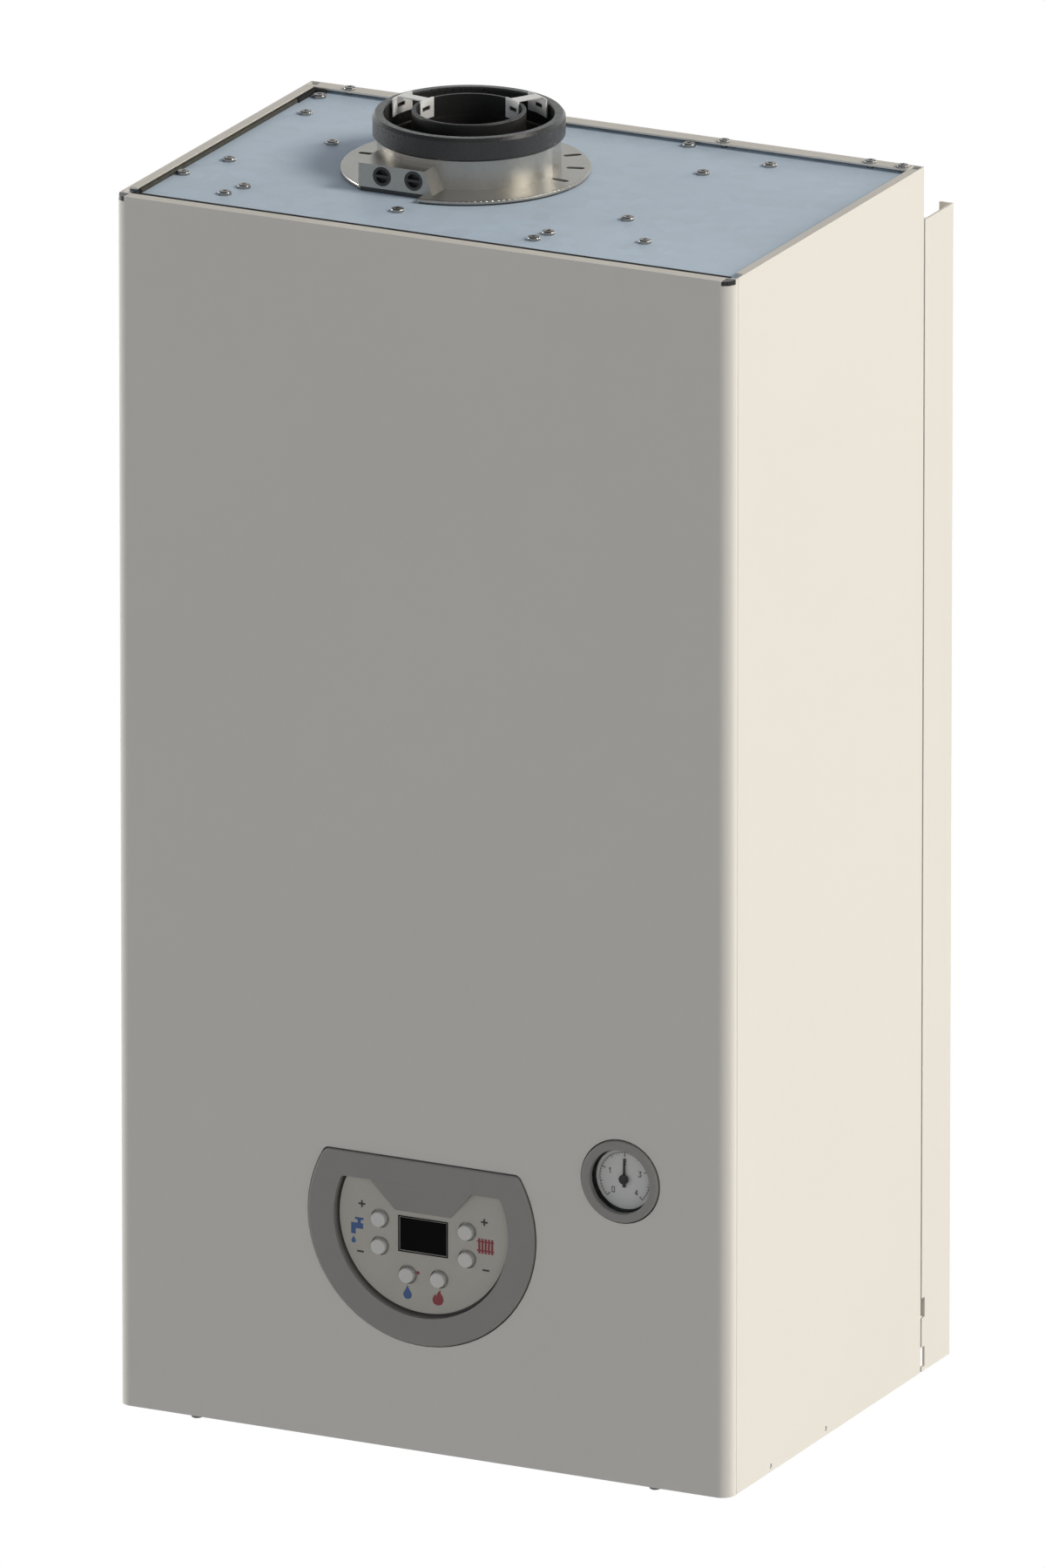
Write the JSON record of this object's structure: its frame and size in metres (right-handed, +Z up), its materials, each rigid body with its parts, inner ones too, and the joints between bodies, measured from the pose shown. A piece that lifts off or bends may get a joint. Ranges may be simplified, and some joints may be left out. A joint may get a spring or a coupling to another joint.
{
  "type": "condensing combi boiler",
  "caption": "Wall-hung condensing combi boiler: folded sheet casing on a spacer frame, round control panel and pressure gauge, concentric flue outlet on top, full works inside.",
  "frame": {"origin": "on the wall plane, midway between the two wall-hanging holes of the top rail", "axes": "+X to the right seen from the front, +Y into the wall, +Z up"},
  "size_m": [0.4, 0.302, 0.8081],
  "materials": {
    "casing_paint": "satin powder coat",
    "frame_paint": "satin powder coat",
    "galvanised": "galvanised sheet",
    "screw_zinc": "zinc plated",
    "cast_aluminium": "as cast",
    "black_rubber": "matte",
    "black_plastic": "satin",
    "spring_steel": "bright",
    "bezel_grey": "fine spark texture",
    "keyplate_grey": "satin film",
    "key_grey": "satin",
    "display_black": "gloss",
    "dial_face": "printed",
    "needle_black": "matte",
    "lens_clear": "clear",
    "box_grey": "satin",
    "circuit_board": "satin",
    "stainless": "brushed",
    "electrode_ceramic": "glazed",
    "copper": "drawn tube",
    "brass": "machined",
    "grey_composite": "glass filled",
    "trap_grey": "moulded",
    "motor_black": "satin",
    "knob_red": "satin",
    "knob_blue": "satin",
    "vessel_red": "gloss paint"
  },
  "bodies": {
    "root": {"left_side_panel": "casing_paint", "right_side_panel": "casing_paint", "rear_panel": "casing_paint", "frame_left_channel": "frame_paint", "frame_right_channel": "frame_paint", "hanger_rail": "frame_paint", "frame_bottom_rail": "frame_paint", "top_plate": "galvanised", "bottom_plate": "galvanised", "casing_screws": "screw_zinc", "top_plate_screws": "screw_zinc", "flue_collar": "cast_aluminium", "burner_door": "cast_aluminium", "gas_valve": "cast_aluminium", "fan_housing": "cast_aluminium", "flue_seal_ring": "black_rubber", "flue_inner_socket": "black_plastic", "mixture_duct": "black_plastic", "diverter_motor": "black_plastic", "centring_clips": "spring_steel", "hinge_pins": "spring_steel", "heat_exchanger_case": "stainless", "heat_exchanger_coil": "stainless", "burner": "stainless", "plate_heat_exchanger": "stainless", "electrodes": "electrode_ceramic", "gas_pipe": "copper", "flow_pipe": "copper", "return_pipe": "copper", "pipe_tails": "copper", "diverter_valve": "grey_composite", "pump_housing": "grey_composite", "condensate_trap": "trap_grey", "fan_motor": "motor_black", "pump_motor": "motor_black", "expansion_vessel": "vessel_red"},
    "front_cover": {"front_panel": "casing_paint"},
    "control_unit": {"control_box": "box_grey", "control_box_cover": "box_grey", "control_board": "circuit_board", "fascia_bezel": "bezel_grey", "fascia_plate": "keyplate_grey", "display_window": "display_black", "gauge_bezel": "bezel_grey", "gauge_dial": "dial_face", "gauge_lens": "lens_clear"},
    "button_water_up": {"button_water_up": "key_grey"},
    "button_water_down": {"button_water_down": "key_grey"},
    "button_heating_up": {"button_heating_up": "key_grey"},
    "button_heating_down": {"button_heating_down": "key_grey"},
    "button_mode": {"button_mode": "key_grey"},
    "button_reset": {"button_reset": "key_grey"},
    "gauge_needle": {"gauge_needle": "needle_black"},
    "test_plug_left": {"test_plug_left": "black_rubber"},
    "test_plug_right": {"test_plug_right": "black_rubber"},
    "fan_rotor": {"fan_impeller": "black_plastic"},
    "pump_rotor": {"pump_impeller": "black_plastic"},
    "diverter_spindle": {"diverter_spindle": "brass"},
    "relief_knob": {"relief_knob": "knob_red"},
    "filling_tap": {"filling_tap": "knob_blue"}
  },
  "joints": [
    {"name": "cover_off", "type": "slide", "parent": "root", "child": "front_cover", "axis": [0, -1, 0], "range_m": [0, 0.4]},
    {"name": "control_unit_drop", "type": "hinge", "parent": "root", "child": "control_unit", "pos_m": [0, -0.28, -0.642], "axis": [1, 0, 0], "range_deg": [0, 80]},
    {"name": "button_water_up_press", "type": "slide", "parent": "control_unit", "child": "button_water_up", "axis": [0, 1, 0], "range_m": [0, 0.001], "stiffness_N_per_m": 400},
    {"name": "button_water_down_press", "type": "slide", "parent": "control_unit", "child": "button_water_down", "axis": [0, 1, 0], "range_m": [0, 0.001], "stiffness_N_per_m": 400},
    {"name": "button_heating_up_press", "type": "slide", "parent": "control_unit", "child": "button_heating_up", "axis": [0, 1, 0], "range_m": [0, 0.001], "stiffness_N_per_m": 400},
    {"name": "button_heating_down_press", "type": "slide", "parent": "control_unit", "child": "button_heating_down", "axis": [0, 1, 0], "range_m": [0, 0.001], "stiffness_N_per_m": 400},
    {"name": "button_mode_press", "type": "slide", "parent": "control_unit", "child": "button_mode", "axis": [0, 1, 0], "range_m": [0, 0.001], "stiffness_N_per_m": 400},
    {"name": "button_reset_press", "type": "slide", "parent": "control_unit", "child": "button_reset", "axis": [0, 1, 0], "range_m": [0, 0.001], "stiffness_N_per_m": 400},
    {"name": "needle_turn", "type": "hinge", "parent": "control_unit", "child": "gauge_needle", "pos_m": [0.1293, -0.295, -0.5024], "axis": [0, 1, 0], "range_deg": [-135, 135], "stiffness_Nm_per_rad": 0.0003},
    {"name": "test_plug_left_pull", "type": "slide", "parent": "root", "child": "test_plug_left", "axis": [0, -1, 0], "range_m": [0, 0.02]},
    {"name": "test_plug_right_pull", "type": "slide", "parent": "root", "child": "test_plug_right", "axis": [0, -1, 0], "range_m": [0, 0.02]},
    {"name": "fan_spin", "type": "hinge", "parent": "root", "child": "fan_rotor", "pos_m": [0.122, -0.186, -0.218], "axis": [0, 1, 0], "continuous": true},
    {"name": "pump_spin", "type": "hinge", "parent": "root", "child": "pump_rotor", "pos_m": [0.128, -0.13, -0.602], "axis": [0, 1, 0], "continuous": true},
    {"name": "diverter_travel", "type": "slide", "parent": "root", "child": "diverter_spindle", "axis": [0, 1, 0], "range_m": [0, 0.008]},
    {"name": "relief_knob_turn", "type": "hinge", "parent": "root", "child": "relief_knob", "pos_m": [0.082, -0.104, -0.532], "axis": [0, 0, 1], "range_deg": [0, 90]},
    {"name": "filling_tap_turn", "type": "hinge", "parent": "root", "child": "filling_tap", "pos_m": [0.095, -0.15, -0.692], "axis": [0, 0, 1], "range_deg": [0, 360]}
  ],
  "couplings": [
    {"joint": "control_unit_drop", "follows": "cover_off", "rad_per_m": 3.4907}
  ]
}
